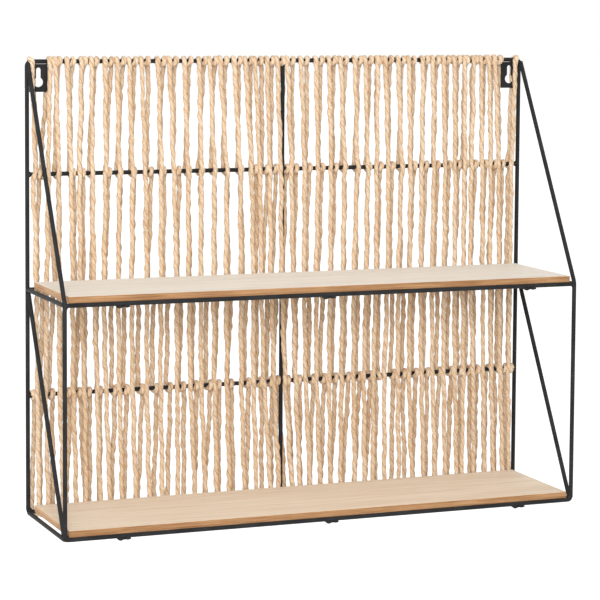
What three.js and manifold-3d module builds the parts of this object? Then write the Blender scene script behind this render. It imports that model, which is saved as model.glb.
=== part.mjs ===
// Hanging rope shelf: a black wire frame that hangs on a wall by two keyhole plates,
// with a rope wound up and down its back panel and two thin wooden boards on its front bars.
// Millimetres. +X is to the right, -Y points into the room, +Z is up.
// The origin is on the wall plane, midway between the keyholes, at the upper ends of their slots.
import * as THREE from "three";
import { mergeVertices } from "three/addons/utils/BufferGeometryUtils.js";
import Module from "manifold-3d";

const wasm = await Module();
wasm.setup();

// Frame sizes
const overallWidth = 600; // outer side of the left post to outer side of the right post
const overallHeight = 500; // underside of the bottom wires to the top of the top bar
const frameDepth = 150; // front of the front wires to the back of the back wires
const wireDiameter = 4.8;
const touchGap = 0.3; // left between pieces that touch
const shelfRise = 246.6; // upper shelf's wires above the bottom wires
const lowerMidRise = 130; // lower panel's bar above the bottom wires
const upperMidRise = 126; // upper panel's bar above the upper shelf's wires
const cornerBend = 5; // radius of the small bends, on the wire's centre line
const bendLead = 3; // straight wire kept past a small bend, up to the butt weld
const elbowBend = 12; // radius of the front wires' elbow
const elbowRise = 2; // elbow's corner above the upper shelf's wires
const diagonalDrop = 2.5; // end of the diagonal below the top bar's centre

// Rope sizes
const ropeDiameter = 4.6;
const ropeTail = 14; // loose end of the rope, from the bar's centre

// Board sizes
const boardThickness = 6;
const boardSideSetback = 5; // board's end inside the side wires' centre
const boardFrontSetback = 1; // board's front edge behind the front bar's centre
const boardBackSetback = 8.5; // board's back edge in front of the back wires' centre

// Tab and screw sizes
const tabWidth = 14;
const backTabWidth = 11;
const tabSheet = 1.2;
const tabLip = 1.5; // lip under the wire, past the wire's centre
const tabMargin = 4.5; // tab past the screw's axis
const screwInset = 7; // screw's axis inside the board's edge
const screwShankRadius = 1.6;
const screwHeadRadius = 3.5;
const screwHeadHeight = 2.2;
const screwBite = 4.5; // screw inside the board
const screwPoint = 1; // height of the screw's pointed end
const tabHoleClearance = 0.5;

// Hanger plate sizes
const plateWidth = 20.2;
const plateHeight = 30.4;
const plateSheet = 1.5;
const plateTopGap = 6.6; // top bar's centre to the slot's upper end
const slotWidth = 5.4;
const keyholeRadius = 5.3;
const keyholeDrop = 15.8; // round hole's centre below the slot's upper end

// Places as shares of the half width between the posts' centres
const leftStrandShares = [
  -0.917, -0.888, -0.843, -0.8, -0.752, -0.695, -0.651, -0.601, -0.552, -0.492,
  -0.445, -0.387, -0.327, -0.29, -0.243, -0.19, -0.141, -0.1, -0.056, -0.02,
];
const rightStrandShares = [
  0.027, 0.09, 0.142, 0.195, 0.247, 0.301, 0.346, 0.386, 0.431, 0.478,
  0.531, 0.582, 0.628, 0.678, 0.721, 0.755, 0.79, 0.838, 0.87, 0.903,
];
const leftTailShares = [-0.921, 0.004]; // where the rope starts and ends behind the panel
const rightTailShares = [0.027, 0.912];
const edgeStrandShare = 0.978;
const upperTabShares = [-0.787, -0.003, 0.813]; // left, centre and right tab
const lowerTabShares = [-0.782, 0.015, 0.778];
const backTabShare = 0.948;
const headCrownShare = 0.6; // flat of the screw head's crown to its radius
const headShoulderShare = 0.4; // height of the crown's edge to the head's height

// Counts
const wireSides = 12;
const bendSteps = 5;
const ropeSides = 6;
const turnSteps = 7; // rope steps in a half turn round a bar
const screwSides = 12;
const holeSides = 16;
const plateCurveSteps = 10; // steps in each curve of a hanger plate's outline
const gapChecks = 4; // points on each step of the rope at which its gaps are measured

// Derived places
const wireRadius = wireDiameter / 2;
const ropeRadius = ropeDiameter / 2;
const ropeReach = wireRadius + touchGap + ropeRadius; // bar's centre to the rope's centre
const butt = wireRadius + touchGap; // wire's centre to the end of a wire that butts on it
const sideX = overallWidth / 2 - wireRadius;
const backY = -(ropeReach + ropeRadius);
const frontY = backY - (frameDepth - wireDiameter);
const topZ = plateTopGap;
const bottomZ = topZ - (overallHeight - wireDiameter);
const shelfZ = bottomZ + shelfRise;
const lowerMidZ = bottomZ + lowerMidRise;
const upperMidZ = shelfZ + upperMidRise;

// Materials
const framePaint = new THREE.MeshStandardMaterial({ color: 0x242424, roughness: 0.45, metalness: 0.3 });
const boardWood = new THREE.MeshStandardMaterial({ color: 0xdcc8a8, roughness: 0.6, metalness: 0 });
const ropeFibre = new THREE.MeshStandardMaterial({ color: 0xd9b98c, roughness: 0.9, metalness: 0 });
const screwSteel = new THREE.MeshStandardMaterial({ color: 0x2f2f2f, roughness: 0.35, metalness: 0.8 });

// A path whose rings stand exactly at the given points, square to the path there.
class PointPath extends THREE.Curve {
  constructor(points) {
    super();
    this.points = points;
  }

  getPoint(share, target = new THREE.Vector3()) {
    const last = this.points.length - 1;
    return target.copy(this.points[Math.round(share * last)]);
  }

  getPointAt(share, target) {
    return this.getPoint(share, target);
  }

  getTangentAt(share, target = new THREE.Vector3()) {
    const last = this.points.length - 1;
    const index = Math.round(share * last);
    const here = this.points[index];
    const incoming = here.clone().sub(this.points[Math.max(index - 1, 0)]).normalize();
    const outgoing = this.points[Math.min(index + 1, last)].clone().sub(here).normalize();
    return target.addVectors(incoming, outgoing).normalize();
  }
}

function roundSection(radius, sides) {
  const corners = [];
  for (let side = 0; side < sides; side++) {
    const angle = (2 * Math.PI * side) / sides;
    corners.push(new THREE.Vector2(radius * Math.cos(angle), radius * Math.sin(angle)));
  }
  return new THREE.Shape(corners);
}

function tubeThrough(points, radius, sides) {
  return new THREE.ExtrudeGeometry(roundSection(radius, sides), {
    steps: points.length - 1,
    extrudePath: new PointPath(points),
    bevelEnabled: false,
  });
}

// The points of a wire that runs through these corners, with every inner corner bent to the radius.
function bentRun(corners, bendRadius) {
  const points = [corners[0]];
  for (let index = 1; index < corners.length - 1; index++) {
    const incoming = corners[index].clone().sub(corners[index - 1]).normalize();
    const outgoing = corners[index + 1].clone().sub(corners[index]).normalize();
    const turn = incoming.angleTo(outgoing);
    const inward = outgoing.clone().addScaledVector(incoming, -outgoing.dot(incoming)).normalize();
    const start = corners[index].clone().addScaledVector(incoming, -bendRadius * Math.tan(turn / 2));
    for (let step = 0; step <= bendSteps; step++) {
      const angle = (turn * step) / bendSteps;
      const point = start.clone().addScaledVector(incoming, bendRadius * Math.sin(angle));
      points.push(point.addScaledVector(inward, bendRadius * (1 - Math.cos(angle))));
    }
  }
  points.push(corners[corners.length - 1]);
  return points;
}

function wire(corners, bendRadius = cornerBend) {
  return tubeThrough(bentRun(corners, bendRadius), wireRadius, wireSides);
}

function place(x, y, z) {
  return new THREE.Vector3(x, y, z);
}

// Solids for cutting and joining
function solidOf(geometry) {
  const bare = geometry.index ? geometry.toNonIndexed() : geometry.clone();
  bare.deleteAttribute("normal");
  bare.deleteAttribute("uv");
  const merged = mergeVertices(bare);
  return new wasm.Manifold(
    new wasm.Mesh({
      numProp: 3,
      vertProperties: merged.attributes.position.array,
      triVerts: new Uint32Array(merged.index.array),
    }),
  );
}

function geometryOf(solid) {
  const mesh = solid.getMesh();
  const geometry = new THREE.BufferGeometry();
  geometry.setAttribute("position", new THREE.BufferAttribute(new Float32Array(mesh.vertProperties), 3));
  geometry.setIndex(new THREE.BufferAttribute(new Uint32Array(mesh.triVerts), 1));
  geometry.computeVertexNormals();
  return geometry;
}

function cutAway(geometry, cutters) {
  let solid = solidOf(geometry);
  for (const cutter of cutters) {
    solid = solid.subtract(solidOf(cutter));
  }
  return geometryOf(solid);
}

function uprightCylinder(radius, lowZ, highZ, x, y) {
  const cylinder = new THREE.CylinderGeometry(radius, radius, highZ - lowZ, holeSides);
  cylinder.rotateX(Math.PI / 2);
  cylinder.translate(x, y, (lowZ + highZ) / 2);
  return cylinder;
}

const shelf = new THREE.Group();
shelf.name = "hanging_rope_shelf";

function addPiece(parent, name, geometry, material) {
  const mesh = new THREE.Mesh(geometry, material);
  mesh.name = name;
  parent.add(mesh);
  return mesh;
}

const sides = [
  { name: "left", sign: -1 },
  { name: "right", sign: 1 },
];

// Back panel of the frame: two posts that bend into the top bar, a centre post and the bars between them.
function addBackPanel(parent) {
  const buttX = sideX - cornerBend - bendLead;
  for (const side of sides) {
    const post = wire([
      place(side.sign * sideX, backY, bottomZ + butt),
      place(side.sign * sideX, backY, topZ),
      place(side.sign * buttX, backY, topZ),
    ]);
    addPiece(parent, side.name + "_back_post", post, framePaint);
  }
  const topEnd = buttX - touchGap;
  addPiece(parent, "top_bar", wire([place(-topEnd, backY, topZ), place(topEnd, backY, topZ)]), framePaint);
  const centre = wire([place(0, backY, bottomZ + butt), place(0, backY, topZ - butt)]);
  addPiece(parent, "centre_post", centre, framePaint);
  const levels = { upper_mid_bar: upperMidZ, shelf_back_bar: shelfZ, lower_mid_bar: lowerMidZ };
  for (const [name, level] of Object.entries(levels)) {
    for (const side of sides) {
      const ends = [
        place(side.sign * butt, backY, level),
        place(side.sign * (sideX - butt), backY, level),
      ];
      addPiece(parent, name + "_" + side.name, wire(ends), framePaint);
    }
  }
}

// How far the round end of a slanted wire reaches along Y and along Z from its centre.
function endReach(from, to) {
  const along = to.clone().sub(from).normalize();
  return { y: wireRadius * Math.abs(along.z), z: wireRadius * Math.abs(along.y) };
}

// Side frames: the front wire rises, bends at the shelf and leans back to the top; a brace runs below it.
function addSideFrames(parent) {
  const elbowZ = shelfZ + elbowRise;
  const lean = Math.atan2(backY - frontY, topZ - elbowZ);
  const elbowSetback = elbowBend * (1 / Math.cos(lean / 2) - 1);
  for (const side of sides) {
    const x = side.sign * sideX;
    const elbow = place(x, frontY, elbowZ);
    const diagonalReach = endReach(elbow, place(x, backY, topZ));
    const head = place(x, backY - butt - diagonalReach.y, topZ - diagonalDrop);
    const frontWire = wire([place(x, frontY, bottomZ + butt), elbow, head], elbowBend);
    addPiece(parent, side.name + "_front_wire", frontWire, framePaint);

    const braceReach = endReach(place(x, frontY, bottomZ), place(x, backY, shelfZ));
    const braceFoot = place(x, frontY + butt + braceReach.y, bottomZ + butt + braceReach.z);
    const braceHead = place(x, backY - butt - braceReach.y, shelfZ - butt - braceReach.z);
    addPiece(parent, side.name + "_brace", wire([braceFoot, braceHead]), framePaint);

    const sideBar = wire([
      place(x, frontY + butt + elbowSetback, shelfZ),
      place(x, backY - butt, shelfZ),
    ]);
    addPiece(parent, side.name + "_shelf_side_bar", sideBar, framePaint);
  }
  const frontEnd = sideX - butt;
  const frontBar = wire([place(-frontEnd, frontY, shelfZ), place(frontEnd, frontY, shelfZ)]);
  addPiece(parent, "shelf_front_bar", frontBar, framePaint);
}

// Bottom frame: a wire rectangle with small round corners, butt welded in its two sides.
function addBottomFrame(parent) {
  const jointInset = cornerBend + bendLead;
  const ends = [
    { name: "bottom_front_bar", y: frontY, inward: 1 },
    { name: "bottom_back_bar", y: backY, inward: -1 },
  ];
  for (const end of ends) {
    const jointY = end.y + end.inward * jointInset;
    const bar = wire([
      place(-sideX, jointY, bottomZ),
      place(-sideX, end.y, bottomZ),
      place(sideX, end.y, bottomZ),
      place(sideX, jointY, bottomZ),
    ]);
    addPiece(parent, end.name, bar, framePaint);
  }
  for (const side of sides) {
    const bar = wire([
      place(side.sign * sideX, frontY + jointInset + touchGap, bottomZ),
      place(side.sign * sideX, backY - jointInset - touchGap, bottomZ),
    ]);
    addPiece(parent, side.name + "_bottom_side_bar", bar, framePaint);
  }
}

// Hanger plates: sheet metal in the top corners, with a keyhole for a wall screw.
const plateCentreX = sideX - butt - plateWidth / 2;

function hangerPlate(side) {
  const outer = side.sign * (sideX - butt);
  const inner = side.sign * (sideX - butt - plateWidth);
  const top = topZ - butt;
  const low = top - plateHeight;
  const round = cornerBend - butt;
  const outline = new THREE.Shape();
  outline.moveTo(inner, low);
  outline.lineTo(outer, low);
  outline.lineTo(outer, top - round);
  outline.quadraticCurveTo(outer, top, outer - side.sign * round, top);
  outline.lineTo(inner, top);
  outline.closePath();

  const centre = side.sign * plateCentreX;
  const slotHalf = slotWidth / 2;
  const openingAngle = Math.asin(slotHalf / keyholeRadius);
  const keyhole = new THREE.Path();
  const upwards = Math.PI / 2;
  keyhole.absarc(centre, -keyholeDrop, keyholeRadius, upwards + openingAngle, upwards - openingAngle, false);
  keyhole.absarc(centre, -slotHalf, slotHalf, 0, Math.PI, false);
  keyhole.closePath();
  outline.holes.push(keyhole);

  const plate = new THREE.ExtrudeGeometry(outline, {
    depth: plateSheet,
    bevelEnabled: false,
    curveSegments: plateCurveSteps,
  });
  plate.translate(0, 0, -plateSheet / 2);
  plate.rotateX(Math.PI / 2);
  plate.translate(0, backY, 0);
  return plate;
}

// Tabs: a strip of sheet that is welded under a bar, steps up behind it and carries the board's screw.
// The outline is drawn across the bar: first number towards the board's middle, second number up.
function tab(width, screwDistance) {
  const low = -(butt + tabSheet);
  const outline = new THREE.Shape();
  outline.moveTo(-tabLip, low);
  outline.lineTo(butt + tabSheet, low);
  outline.lineTo(butt + tabSheet, wireRadius - tabSheet);
  outline.lineTo(screwDistance + tabMargin, wireRadius - tabSheet);
  outline.lineTo(screwDistance + tabMargin, wireRadius);
  outline.lineTo(butt, wireRadius);
  outline.lineTo(butt, -butt);
  outline.lineTo(-tabLip, -butt);
  outline.closePath();
  const strip = new THREE.ExtrudeGeometry(outline, { depth: width, bevelEnabled: false });
  strip.translate(0, 0, -width / 2);
  strip.applyMatrix4(new THREE.Matrix4().makeBasis(place(0, 1, 0), place(0, 0, 1), place(1, 0, 0)));
  const holeRadius = screwShankRadius + tabHoleClearance;
  return cutAway(strip, [uprightCylinder(holeRadius, low, wireRadius + tabSheet, 0, screwDistance)]);
}

// Screw: pan head below the tab, shank up through it into the board.
function screw() {
  const underTab = wireRadius - tabSheet - touchGap;
  const tip = wireRadius + touchGap + screwBite;
  const profile = [
    new THREE.Vector2(0, underTab - screwHeadHeight),
    new THREE.Vector2(screwHeadRadius * headCrownShare, underTab - screwHeadHeight),
    new THREE.Vector2(screwHeadRadius, underTab - screwHeadHeight * headShoulderShare),
    new THREE.Vector2(screwHeadRadius, underTab),
    new THREE.Vector2(screwShankRadius, underTab),
    new THREE.Vector2(screwShankRadius, tip - screwPoint),
    new THREE.Vector2(0, tip),
  ];
  const turned = new THREE.LatheGeometry(profile, screwSides);
  turned.rotateX(Math.PI / 2);
  return turned;
}

// A shelf's fixings: front tabs under the front bar, back tabs under the back bar, a screw in each.
function shelfFixings(frontShares) {
  const fixings = [];
  const ends = ["left", "centre", "right"];
  frontShares.forEach((share, index) => {
    const distance = boardFrontSetback + screwInset;
    const x = share * sideX;
    fixings.push({ name: "front", end: ends[index], x, barY: frontY, inward: 1, distance, width: tabWidth });
  });
  for (const side of sides) {
    const distance = boardBackSetback + screwInset;
    const x = side.sign * backTabShare * sideX;
    fixings.push({ name: "back", end: side.name, x, barY: backY, inward: -1, distance, width: backTabWidth });
  }
  return fixings;
}

// One shelf: a board that rests on the front bar and is screwed down on its tabs.
// The group stands at the level of the shelf's wires.
function addShelf(parent, name, level, frontShares) {
  const group = new THREE.Group();
  group.position.z = level;
  parent.add(group);
  const underside = butt;
  const fixings = shelfFixings(frontShares);
  const depth = backY - boardBackSetback - (frontY + boardFrontSetback);
  const board = new THREE.BoxGeometry(2 * (sideX - boardSideSetback), depth, boardThickness);
  board.translate(0, frontY + boardFrontSetback + depth / 2, underside + boardThickness / 2);
  const pilotRadius = screwShankRadius + touchGap;
  const pilots = fixings.map((fixing) =>
    uprightCylinder(
      pilotRadius,
      underside - touchGap,
      underside + screwBite + touchGap,
      fixing.x,
      fixing.barY + fixing.inward * fixing.distance,
    ),
  );
  addPiece(group, name + "_board", cutAway(board, pilots), boardWood);
  for (const fixing of fixings) {
    const label = name + "_" + fixing.name;
    const stripShape = tab(fixing.width, fixing.distance);
    const strip = addPiece(group, label + "_tab_" + fixing.end, stripShape, framePaint);
    strip.position.set(fixing.x, fixing.barY, 0);
    strip.rotation.z = fixing.inward > 0 ? 0 : Math.PI;
    const fastener = addPiece(group, label + "_screw_" + fixing.end, screw(), screwSteel);
    fastener.position.set(fixing.x, fixing.barY + fixing.inward * fixing.distance, 0);
  }
}

// Rope route helpers. A half turn goes round a bar from one side of it to the other, from x to nextX.
function halfTurn(x, nextX, level, fromFront, overTop) {
  const points = [];
  const firstSide = fromFront ? -1 : 1;
  const upward = overTop ? 1 : -1;
  for (let step = 0; step <= turnSteps; step++) {
    const angle = (Math.PI * step) / turnSteps;
    const y = backY + firstSide * ropeReach * Math.cos(angle);
    const z = level + upward * ropeReach * Math.sin(angle);
    points.push(place(x + ((nextX - x) * step) / turnSteps, y, z));
  }
  return points;
}

// One half of the rope panel: up in front, over the top bar, down behind,
// under the bottom bar, again and again.
function windingRoute(shares, [startShare, endShare]) {
  const places = shares.map((share) => share * sideX);
  const startX = startShare * sideX;
  const points = [place(startX, backY + ropeReach, bottomZ + ropeTail)];
  let backX = startX;
  places.forEach((frontX, index) => {
    const last = index === places.length - 1;
    points.push(...halfTurn(backX, frontX, bottomZ, false, false));
    backX = last ? endShare * sideX : (frontX + places[index + 1]) / 2;
    points.push(...halfTurn(frontX, backX, topZ, true, true));
  });
  points.push(place(backX, backY + ropeReach, bottomZ));
  return points;
}

// The strand beside each post: over the top bar, down in front, under the bottom bar.
function edgeRoute(x) {
  return [
    place(x, backY + ropeReach, topZ - ropeTail),
    ...halfTurn(x, x, topZ, false, true),
    ...halfTurn(x, x, bottomZ, true, false),
    place(x, backY + ropeReach, bottomZ + ropeTail),
  ];
}

function ropeLength(points) {
  return points.slice(1).reduce((sum, point, index) => sum + point.distanceTo(points[index]), 0);
}

// Least gap between two stretches of one rope, measured from points on each step to every step
// that is more than a half turn away along the rope.
function leastGap(points) {
  const clearAlong = Math.PI * ropeReach + ropeDiameter;
  const alongs = [0];
  for (let index = 1; index < points.length; index++) {
    alongs.push(alongs[index - 1] + points[index].distanceTo(points[index - 1]));
  }
  const nearest = new THREE.Vector3();
  const probe = new THREE.Vector3();
  let least = Infinity;
  for (let one = 1; one < points.length; one++) {
    for (let other = 1; other < points.length; other++) {
      const apart = Math.max(alongs[other - 1] - alongs[one], alongs[one - 1] - alongs[other]);
      if (apart < clearAlong) continue;
      const step = new THREE.Line3(points[other - 1], points[other]);
      for (let check = 0; check <= gapChecks; check++) {
        probe.lerpVectors(points[one - 1], points[one], check / gapChecks);
        step.closestPointToPoint(probe, true, nearest);
        least = Math.min(least, probe.distanceTo(nearest) - ropeDiameter);
      }
    }
  }
  return least;
}

function addRope(parent) {
  const edgeX = edgeStrandShare * sideX;
  const ropes = {
    left_rope_winding: windingRoute(leftStrandShares, leftTailShares),
    right_rope_winding: windingRoute(rightStrandShares, rightTailShares),
    left_edge_rope: edgeRoute(-edgeX),
    right_edge_rope: edgeRoute(edgeX),
  };
  for (const [name, route] of Object.entries(ropes)) {
    addPiece(parent, name, tubeThrough(route, ropeRadius, ropeSides), ropeFibre);
    const gap = leastGap(route).toFixed(2);
    console.log(`${name}: ${ropeLength(route).toFixed(0)} mm of rope, least gap to itself ${gap} mm`);
  }
}

addBackPanel(shelf);
addSideFrames(shelf);
addBottomFrame(shelf);
for (const side of sides) {
  addPiece(shelf, side.name + "_hanger_plate", hangerPlate(side), framePaint);
}
addShelf(shelf, "upper", shelfZ, upperTabShares);
addShelf(shelf, "lower", bottomZ, lowerTabShares);
addRope(shelf);

export default shelf;
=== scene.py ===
# %% [markdown]
# # A hanging rope shelf
# This lesson dresses a small wall shelf: a frame of black wire, a back panel wound with
# twisted straw rope, and two thin wooden boards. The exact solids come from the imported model,
# so every piece made here starts from measured places and only adds what the eye looks for.

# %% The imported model
import bpy, bmesh, math, random
from mathutils import Matrix, Vector


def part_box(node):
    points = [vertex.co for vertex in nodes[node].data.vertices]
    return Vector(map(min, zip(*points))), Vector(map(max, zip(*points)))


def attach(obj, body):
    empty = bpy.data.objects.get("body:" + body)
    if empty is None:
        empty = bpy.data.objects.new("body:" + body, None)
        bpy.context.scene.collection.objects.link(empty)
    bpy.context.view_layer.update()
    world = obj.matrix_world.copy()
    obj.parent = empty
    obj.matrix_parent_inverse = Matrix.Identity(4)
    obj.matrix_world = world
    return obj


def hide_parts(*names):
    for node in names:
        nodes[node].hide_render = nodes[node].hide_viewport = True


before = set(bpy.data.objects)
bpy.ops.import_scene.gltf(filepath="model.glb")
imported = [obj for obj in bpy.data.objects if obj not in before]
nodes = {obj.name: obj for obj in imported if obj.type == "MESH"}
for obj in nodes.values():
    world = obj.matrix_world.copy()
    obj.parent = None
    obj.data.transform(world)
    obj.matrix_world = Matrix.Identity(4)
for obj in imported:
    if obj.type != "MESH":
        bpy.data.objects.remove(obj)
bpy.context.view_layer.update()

# %% [markdown]
# ## Places on the frame
# Everything is in metres. X runs along the shelf, Y into the wall, Z up, and the origin lies
# between the two keyholes. The places below are the ones that the wires were bent to. They
# could be measured on the solids each time they are needed, but a place that has one name
# keeps the weld beads and the rope together.

# %% Places
MM = 0.001
BACK_Y = -7.3 * MM  # centre of the back wires
TOP_Z = 6.6 * MM
UPPER_MID_Z = -116 * MM
SHELF_Z = -242 * MM
LOWER_MID_Z = -358.6 * MM
BOTTOM_Z = -488.6 * MM
WIRE_RADIUS = 2.4 * MM
BAR_LEVELS = [TOP_Z, UPPER_MID_Z, SHELF_Z, LOWER_MID_Z, BOTTOM_Z]
print("bars at", [round(z, 3) for z in BAR_LEVELS])

# %% [markdown]
# ## Camera
# The photograph was taken from the left and a little above the top bar, from far away with a
# long lens, so the shelf hardly narrows with distance. A camera could be turned by hand until
# the view looks right. Here its place and its three angles come from a fit to the photograph,
# and its own directions are worked out from them, so no order of turns has to be remembered.

# %% Camera
CAMERA_PLACE = Vector((-983.2, -2519.5, 80.5)) * MM
CAMERA_YAW = math.radians(-21.808)
CAMERA_PITCH = math.radians(4.911)
CAMERA_ROLL = math.radians(0.394)
FOCAL_PIXELS = 2387.2
PICTURE_WIDTH = 600
CENTRE_ROW = 200  # picture row of the lens axis
SENSOR_WIDTH = 36  # millimetres, the unit that a Blender camera uses


def camera_directions():
    """The camera's right, up and forward directions."""
    forward = Vector((-math.sin(CAMERA_YAW) * math.cos(CAMERA_PITCH),
                      math.cos(CAMERA_YAW) * math.cos(CAMERA_PITCH),
                      -math.sin(CAMERA_PITCH)))
    level = Vector((math.cos(CAMERA_YAW), math.sin(CAMERA_YAW), 0))
    upright = level.cross(forward)
    right = level * math.cos(CAMERA_ROLL) + upright * math.sin(CAMERA_ROLL)
    return right, right.cross(forward), forward


def add_camera():
    data = bpy.data.cameras.new("shelf_camera")
    data.sensor_width = SENSOR_WIDTH
    data.lens = FOCAL_PIXELS * SENSOR_WIDTH / PICTURE_WIDTH
    data.shift_y = (CENTRE_ROW - PICTURE_WIDTH / 2) / PICTURE_WIDTH
    camera = bpy.data.objects.new("shelf_camera", data)
    right, upright, forward = camera_directions()
    turn = Matrix((right, upright, -forward)).transposed()
    camera.matrix_world = Matrix.Translation(CAMERA_PLACE) @ turn.to_4x4()
    bpy.context.scene.collection.objects.link(camera)
    bpy.context.scene.camera = camera
    return camera


camera = add_camera()
print("lens", round(camera.data.lens, 1), "shift", round(camera.data.shift_y, 3))

# %% [markdown]
# ## Helpers for nodes
# A material is a small graph of nodes, and so is the white world behind the shelf. They could be
# joined by hand in the shader editor. As code they stay short with a few helpers: one turns a
# screen's colours into a shader's, one starts a material, and one adds a node with what feeds it.

# %% Colours and nodes
def srgb(red, green, blue):
    """A colour as a screen shows it (0 to 255), as the linear values that a shader takes."""
    def linear(value):
        value /= 255
        return value / 12.92 if value <= 0.04045 else ((value + 0.055) / 1.055) ** 2.4
    return (linear(red), linear(green), linear(blue), 1)


def grey(value):
    return (value, value, value, 1)


def new_material(name, roughness, specular=0.5, metallic=0.0):
    material = bpy.data.materials.new(name)
    material.use_nodes = True
    shader = material.node_tree.nodes["Principled BSDF"]
    shader.inputs["Roughness"].default_value = roughness
    shader.inputs["Specular IOR Level"].default_value = specular
    shader.inputs["Metallic"].default_value = metallic
    return material, material.node_tree, shader


def add_node(tree, kind, inputs=None, **settings):
    """A new node. Each input takes a plain value, or the output of a node that feeds it."""
    node = tree.nodes.new(kind)
    for key, value in settings.items():
        setattr(node, key, value)
    for key, value in (inputs or {}).items():
        if isinstance(value, bpy.types.NodeSocket):
            tree.links.new(value, node.inputs[key])
        else:
            node.inputs[key].default_value = value
    return node


print("wood brown to a shader:", [round(v, 3) for v in srgb(163, 122, 84)])

# %% [markdown]
# ## White surround
# The shelf hangs in front of plain white. A bright white world would be the short way, but its
# light would also wash out the shadows between the strands. So the surround is white only for
# the camera and for reflections, and what lights the shelf from all sides is weaker.

# %% White seen, not white light
SURROUND_LIGHT = 0.62


def sees_surround(tree):
    """A value that is 1 for camera, mirror and glass rays and 0 for the light that spreads."""
    path = add_node(tree, "ShaderNodeLightPath")
    widest = path.outputs["Is Camera Ray"]
    for name in ("Is Glossy Ray", "Is Transmission Ray"):
        widest = add_node(tree, "ShaderNodeMath", {0: widest, 1: path.outputs[name]},
                          operation="MAXIMUM").outputs[0]
    return widest


def add_if_seen(tree, output, unseen, seen):
    """Feed the graph's output with one shader for light that spreads and another for the eye."""
    mix = add_node(tree, "ShaderNodeMixShader",
                   {0: sees_surround(tree), 1: unseen.outputs[0], 2: seen.outputs[0]})
    tree.links.new(mix.outputs[0], tree.nodes[output].inputs["Surface"])


def add_surround():
    world = bpy.data.worlds.new("white_surround")
    bpy.context.scene.world = world
    world.use_nodes = True
    tree = world.node_tree
    soft = tree.nodes["Background"]
    soft.inputs["Color"].default_value = (1, 0.99, 0.975, 1)
    soft.inputs["Strength"].default_value = SURROUND_LIGHT
    seen = add_node(tree, "ShaderNodeBackground", {"Color": grey(1)})
    add_if_seen(tree, "World Output", soft, seen)


bpy.context.scene.view_settings.view_transform = "Standard"
add_surround()
print("light from all sides:", SURROUND_LIGHT)

# %% [markdown]
# ## Floor
# The floor lies far below the shelf and takes its soft shadow. It is matt and pale. Seen by the
# camera it also glows a little, so that it meets the white surround without a line and the
# shadow still shows. The glow is left out for the light that spreads.

# %% Floor
FLOOR_Z = -1.25
FLOOR_REACH = 30  # from its middle to each side
FLOOR_GLOW = 0.62


def make_pale_floor():
    material, tree, matt = new_material("pale_floor", 0.95, specular=0)
    matt.inputs["Base Color"].default_value = grey(0.86)
    glow = add_node(tree, "ShaderNodeEmission", {"Strength": FLOOR_GLOW})
    both = add_node(tree, "ShaderNodeAddShader", {0: glow.outputs[0], 1: matt.outputs[0]})
    add_if_seen(tree, "Material Output", matt, both)
    return material


def add_floor():
    mesh = bpy.data.meshes.new("floor")
    bm = bmesh.new()
    bmesh.ops.create_grid(bm, x_segments=1, y_segments=1, size=FLOOR_REACH)
    bmesh.ops.translate(bm, verts=bm.verts, vec=(0, 0, FLOOR_Z))
    bm.to_mesh(mesh)
    bm.free()
    floor = bpy.data.objects.new("floor", mesh)
    bpy.context.scene.collection.objects.link(floor)
    mesh.materials.append(make_pale_floor())


add_floor()
print("floor at", FLOOR_Z)

# %% [markdown]
# ## Lamps
# A sun or a point lamp would draw hard shadows, so each lamp is a wide disc, whose shadows have
# soft edges. The strongest stands in front, only a little above the shelf, so the upper board
# shades no more than a hand's width of the rope below it, as in the photograph. One high above
# lights the tops of the boards. Two weak ones at the sides keep the wires from going flat and
# light the boards' ends.

# %% Lamps
LAMPS = {
    "high_front_lamp": dict(place=(-0.8, -1.62, 2.27), size=1.4, watts=23, tint=(0.94, 0.99, 1)),
    "level_front_lamp": dict(place=(-1.1, -2.6, 0.5), size=1.15, watts=58, tint=(1, 0.99, 0.98)),
    "right_lamp": dict(place=(2.0, -1.3, 0.9), size=1.2, watts=9, tint=(1, 1, 1)),
    "left_lamp": dict(place=(-2.1, -0.9, -0.1), size=1.3, watts=9, tint=(1, 0.99, 0.98)),
}
LAMP_AIM = Vector((0, -0.07, -0.24))


def add_lamp(name, place, size, watts, tint):
    data = bpy.data.lights.new(name, "AREA")
    data.shape = "DISK"
    data.size = size
    data.energy = watts
    data.color = tint
    lamp = bpy.data.objects.new(name, data)
    lamp.location = place
    lamp.rotation_euler = (LAMP_AIM - Vector(place)).to_track_quat("-Z", "Y").to_euler()
    bpy.context.scene.collection.objects.link(lamp)


for name, lamp in LAMPS.items():
    add_lamp(name, **lamp)
print("lamps:", list(LAMPS))

# %% [markdown]
# ## Helpers for surfaces
# Real paint, wood and straw are never one even tone. Photographs of them could be laid on the
# pieces, but they show seams and repeats. These helpers build the unevenness instead: they lay
# noise on a surface, turn its grey values into colours, darken a colour by a tint and raise a
# bump.

# %% Ramps, noise, tints and bumps
MIX_WEIGHT, MIX_COLOUR, MIX_TINT, MIX_RESULT = 0, 6, 7, 2  # sockets of a Mix node for colours


def object_place(tree):
    """Where a point of the surface lies on the shelf, in metres."""
    return add_node(tree, "ShaderNodeTexCoord").outputs["Object"]


def ramp(tree, value, stops):
    """Colours along a value: stops are (place, colour)."""
    node = add_node(tree, "ShaderNodeValToRGB", {"Fac": value})
    elements = node.color_ramp.elements
    while len(elements) < len(stops):
        elements.new(0.5)
    for element, (place, colour) in zip(elements, stops):
        element.position = place
        element.color = colour
    return node.outputs["Color"]


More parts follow.
